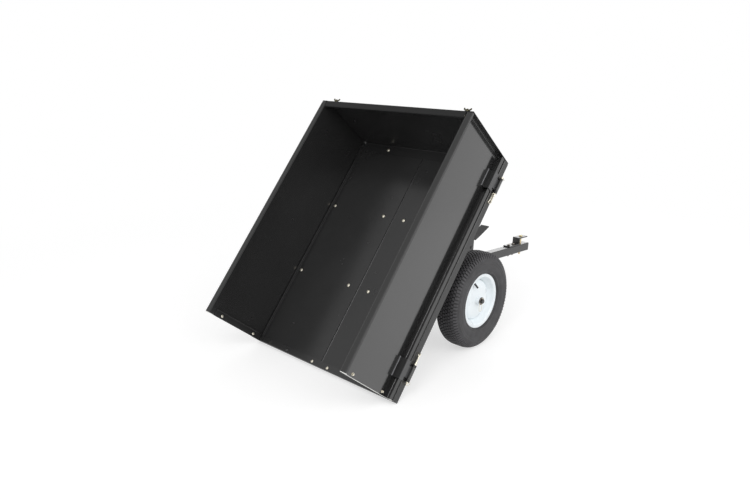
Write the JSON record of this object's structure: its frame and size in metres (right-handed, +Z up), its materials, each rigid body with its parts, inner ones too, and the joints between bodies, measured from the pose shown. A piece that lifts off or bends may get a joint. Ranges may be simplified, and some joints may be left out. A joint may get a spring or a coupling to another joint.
{
  "type": "garden tractor trailer",
  "caption": "Black steel garden tractor trailer tipped back on its rear edge: drop-side tub without tailgate, pneumatic tyres on white rims, square drawbar with foot latch and pin hitch.",
  "frame": {"origin": "on the ground, under the middle of the bounding box", "axes": "+X forward along the drawbar towards the towing vehicle, +Y to the left, +Z up"},
  "size_m": [1.7874, 0.805, 1.0023],
  "materials": {
    "black_steel": "satin black powder coat",
    "white_steel": "gloss white paint",
    "zinc": "bright zinc plate",
    "yellow_zinc": "yellow zinc plate on steel",
    "tyre_rubber": "matt",
    "valve_rubber": "matt",
    "black_plastic": "matt"
  },
  "bodies": {
    "chassis": {"drawbar": "black_steel", "axle": "black_steel", "axle_tube": "black_steel", "latch_post": "black_steel", "latch_pivot_bolt": "black_steel", "hitch_jaw": "black_steel", "jaw_bolt_rear": "zinc", "jaw_bolt_front": "zinc", "wheel_washer_left": "black_steel", "wheel_washer_right": "black_steel", "axle_clip_left": "yellow_zinc", "axle_clip_right": "yellow_zinc"},
    "latch_lever": {"latch_lever": "black_steel"},
    "hitch_pin": {"hitch_pin": "yellow_zinc"},
    "tub": {"floor_left": "black_steel", "floor_right": "black_steel", "rear_sill": "black_steel", "front_panel": "black_steel", "rear_cross_member": "black_steel", "front_cross_member": "black_steel", "axle_leg_left": "black_steel", "axle_leg_right": "black_steel", "leg_bush_left": "black_plastic", "leg_bush_right": "black_plastic", "tip_stop_bar": "black_steel", "latch_rail": "black_steel", "latch_striker": "zinc", "hinge_bracket_front_left": "black_steel", "hinge_bracket_rear_left": "black_steel", "hinge_bracket_front_right": "black_steel", "hinge_bracket_rear_right": "black_steel", "hinge_pin_front_left": "yellow_zinc", "hinge_pin_rear_left": "yellow_zinc", "hinge_pin_front_right": "yellow_zinc", "hinge_pin_rear_right": "yellow_zinc", "clamp_bolt_left": "zinc", "clamp_bolt_right": "zinc", "front_bolt_left": "zinc", "front_bolt_right": "zinc"},
    "side_left": {"side_panel_left": "black_steel", "tailgate_guide_left": "black_steel", "hinge_strap_front_left": "black_steel", "hinge_strap_rear_left": "black_steel"},
    "wing_nut_left": {"wing_nut_left": "yellow_zinc"},
    "wheel_left": {"tyre_left": "tyre_rubber", "rim_left": "white_steel", "hub_bush_outer_left": "black_plastic", "hub_bush_inner_left": "black_plastic", "valve_left": "valve_rubber"},
    "side_right": {"side_panel_right": "black_steel", "tailgate_guide_right": "black_steel", "hinge_strap_front_right": "black_steel", "hinge_strap_rear_right": "black_steel"},
    "wing_nut_right": {"wing_nut_right": "yellow_zinc"},
    "wheel_right": {"tyre_right": "tyre_rubber", "rim_right": "white_steel", "hub_bush_outer_right": "black_plastic", "hub_bush_inner_right": "black_plastic", "valve_right": "valve_rubber"}
  },
  "joints": [
    {"name": "tub_tip", "type": "hinge", "parent": "chassis", "child": "tub", "pos_m": [-0.03292, 0, 0.205], "axis": [0, 1, 0], "range_deg": [0, 53.5]},
    {"name": "latch_pedal", "type": "hinge", "parent": "chassis", "child": "latch_lever", "pos_m": [0.32906, 0, 0.29952], "axis": [0, 1, 0], "range_deg": [-14, 0]},
    {"name": "hitch_pin_lift", "type": "slide", "parent": "chassis", "child": "hitch_pin", "axis": [0.057, 0, 0.9984], "range_m": [0, 0.08]},
    {"name": "side_swing_left", "type": "hinge", "parent": "tub", "child": "side_left", "pos_m": [-0.31639, 0.3955, 0.40058], "axis": [-0.6397, 0, -0.7686], "range_deg": [0, 90]},
    {"name": "wing_nut_turn_left", "type": "hinge", "parent": "tub", "child": "wing_nut_left", "pos_m": [-0.21806, 0.337, 0.98616], "axis": [0.6397, 0, 0.7686], "continuous": true},
    {"name": "wheel_spin_left", "type": "hinge", "parent": "chassis", "child": "wheel_left", "pos_m": [-0.03292, 0.2865, 0.205], "axis": [0, 1, 0], "continuous": true},
    {"name": "side_swing_right", "type": "hinge", "parent": "tub", "child": "side_right", "pos_m": [-0.31639, -0.3955, 0.40058], "axis": [0.6397, 0, 0.7686], "range_deg": [0, 90]},
    {"name": "wing_nut_turn_right", "type": "hinge", "parent": "tub", "child": "wing_nut_right", "pos_m": [-0.21806, -0.337, 0.98616], "axis": [0.6397, 0, 0.7686], "continuous": true},
    {"name": "wheel_spin_right", "type": "hinge", "parent": "chassis", "child": "wheel_right", "pos_m": [-0.03292, -0.2865, 0.205], "axis": [0, 1, 0], "continuous": true}
  ]
}
